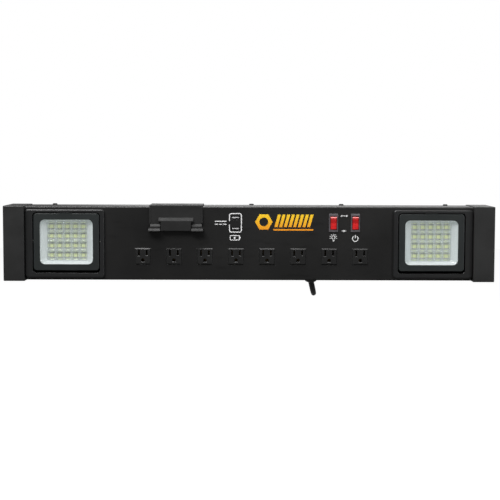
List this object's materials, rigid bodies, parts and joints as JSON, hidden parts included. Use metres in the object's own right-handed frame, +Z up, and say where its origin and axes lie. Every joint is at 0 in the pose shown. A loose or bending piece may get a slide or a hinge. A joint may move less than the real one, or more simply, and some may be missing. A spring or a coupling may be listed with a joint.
{
  "type": "power strip",
  "caption": "Long black workshop power strip with a row of grounded outlets, USB ports, rocker switches, a sliding phone holder and tilting LED work lamps at both ends.",
  "frame": {"origin": "on the rear mounting plane, at mid length and mid height, in the middle of the four mounting holes", "axes": "+X along the strip to the right as seen from the front, +Y from the front panel to the back, +Z up"},
  "size_m": [0.8044, 0.1425, 0.157],
  "materials": {
    "powder_coat": "fine black powder coat",
    "end_cap_plastic": "moulded ABS, fine texture",
    "plated_steel": "zinc plated",
    "black_screws": "black oxide",
    "bezel_plastic": "moulded, satin",
    "lamp_casting": "die cast aluminium, powder coated dark grey",
    "lens": "clear toughened glass",
    "reflector_white": "white gloss moulding",
    "led_board": "white solder mask on aluminium",
    "led_phosphor": "yellow green phosphor in a white package",
    "outlet_plastic": "moulded thermoset",
    "brass": "drawn",
    "usb_shell": "nickel plated",
    "usb_tongue": "white moulding",
    "usb_module": "moulded",
    "switch_housing": "grey moulding",
    "rocker_red": "translucent red",
    "holder_plastic": "moulded ABS",
    "driver_case": "anodised",
    "cord_jacket": "black PVC jacket",
    "tie_fabric": "hook and loop tape"
  },
  "bodies": {
    "housing": {"back_cover": "powder_coat", "bezel_screws": "plated_steel", "cord": "cord_jacket", "cord_gland": "cord_jacket", "cord_hank": "cord_jacket", "cord_tail": "cord_jacket", "cord_tie": "tie_fabric", "cover_screws": "black_screws", "end_cap_screws": "black_screws", "front_cover": "powder_coat", "ground_bus": "brass", "holder_guide": "usb_module", "holder_left_foot": "holder_plastic", "holder_right_foot": "holder_plastic", "led_driver": "driver_case", "left_end_cap": "end_cap_plastic", "left_end_plate": "plated_steel", "left_lamp_bezel": "bezel_plastic", "light_switch_housing": "switch_housing", "line_bus": "brass", "mount_inserts": "brass", "neutral_bus": "brass", "outlet_1": "outlet_plastic", "outlet_2": "outlet_plastic", "outlet_3": "outlet_plastic", "outlet_4": "outlet_plastic", "outlet_5": "outlet_plastic", "outlet_6": "outlet_plastic", "outlet_7": "outlet_plastic", "outlet_8": "outlet_plastic", "plug_body": "cord_jacket", "plug_contacts": "brass", "power_switch_housing": "switch_housing", "right_end_cap": "end_cap_plastic", "right_end_plate": "plated_steel", "right_lamp_bezel": "bezel_plastic", "switch_terminals": "brass", "terminal_block": "usb_module", "usb_module": "usb_module", "usb_shells": "usb_shell", "usb_tongues": "usb_tongue"},
    "left_lamp": {"left_lamp_housing": "lamp_casting", "left_lamp_lens": "lens", "left_lamp_reflector": "reflector_white", "left_led_board": "led_board", "left_leds": "led_phosphor", "left_lamp_back": "lamp_casting", "left_lamp_pins": "plated_steel"},
    "right_lamp": {"right_lamp_housing": "lamp_casting", "right_lamp_lens": "lens", "right_lamp_reflector": "reflector_white", "right_led_board": "led_board", "right_leds": "led_phosphor", "right_lamp_back": "lamp_casting", "right_lamp_pins": "plated_steel"},
    "light_rocker": {"light_switch_rocker": "rocker_red"},
    "power_rocker": {"power_switch_rocker": "rocker_red"},
    "holder_slider": {"holder_slide_plate": "holder_plastic", "holder_grip": "holder_plastic", "holder_rods": "plated_steel"}
  },
  "joints": [
    {"name": "left_lamp_tilt", "type": "hinge", "parent": "housing", "child": "left_lamp", "pos_m": [-0.2982, -0.0654, 0.00205], "axis": [1, 0, 0], "range_deg": [0, 40]},
    {"name": "right_lamp_tilt", "type": "hinge", "parent": "housing", "child": "right_lamp", "pos_m": [0.2982, -0.0654, 0.00205], "axis": [1, 0, 0], "range_deg": [0, 40]},
    {"name": "light_rocker_tilt", "type": "hinge", "parent": "housing", "child": "light_rocker", "pos_m": [0.138, -0.0746, 0.034], "axis": [-1, 0, 0], "range_deg": [0, 16]},
    {"name": "power_rocker_tilt", "type": "hinge", "parent": "housing", "child": "power_rocker", "pos_m": [0.1738, -0.0746, 0.034], "axis": [-1, 0, 0], "range_deg": [0, 16]},
    {"name": "holder_slide", "type": "slide", "parent": "housing", "child": "holder_slider", "axis": [0, 0, 1], "range_m": [0, 0.07]}
  ]
}
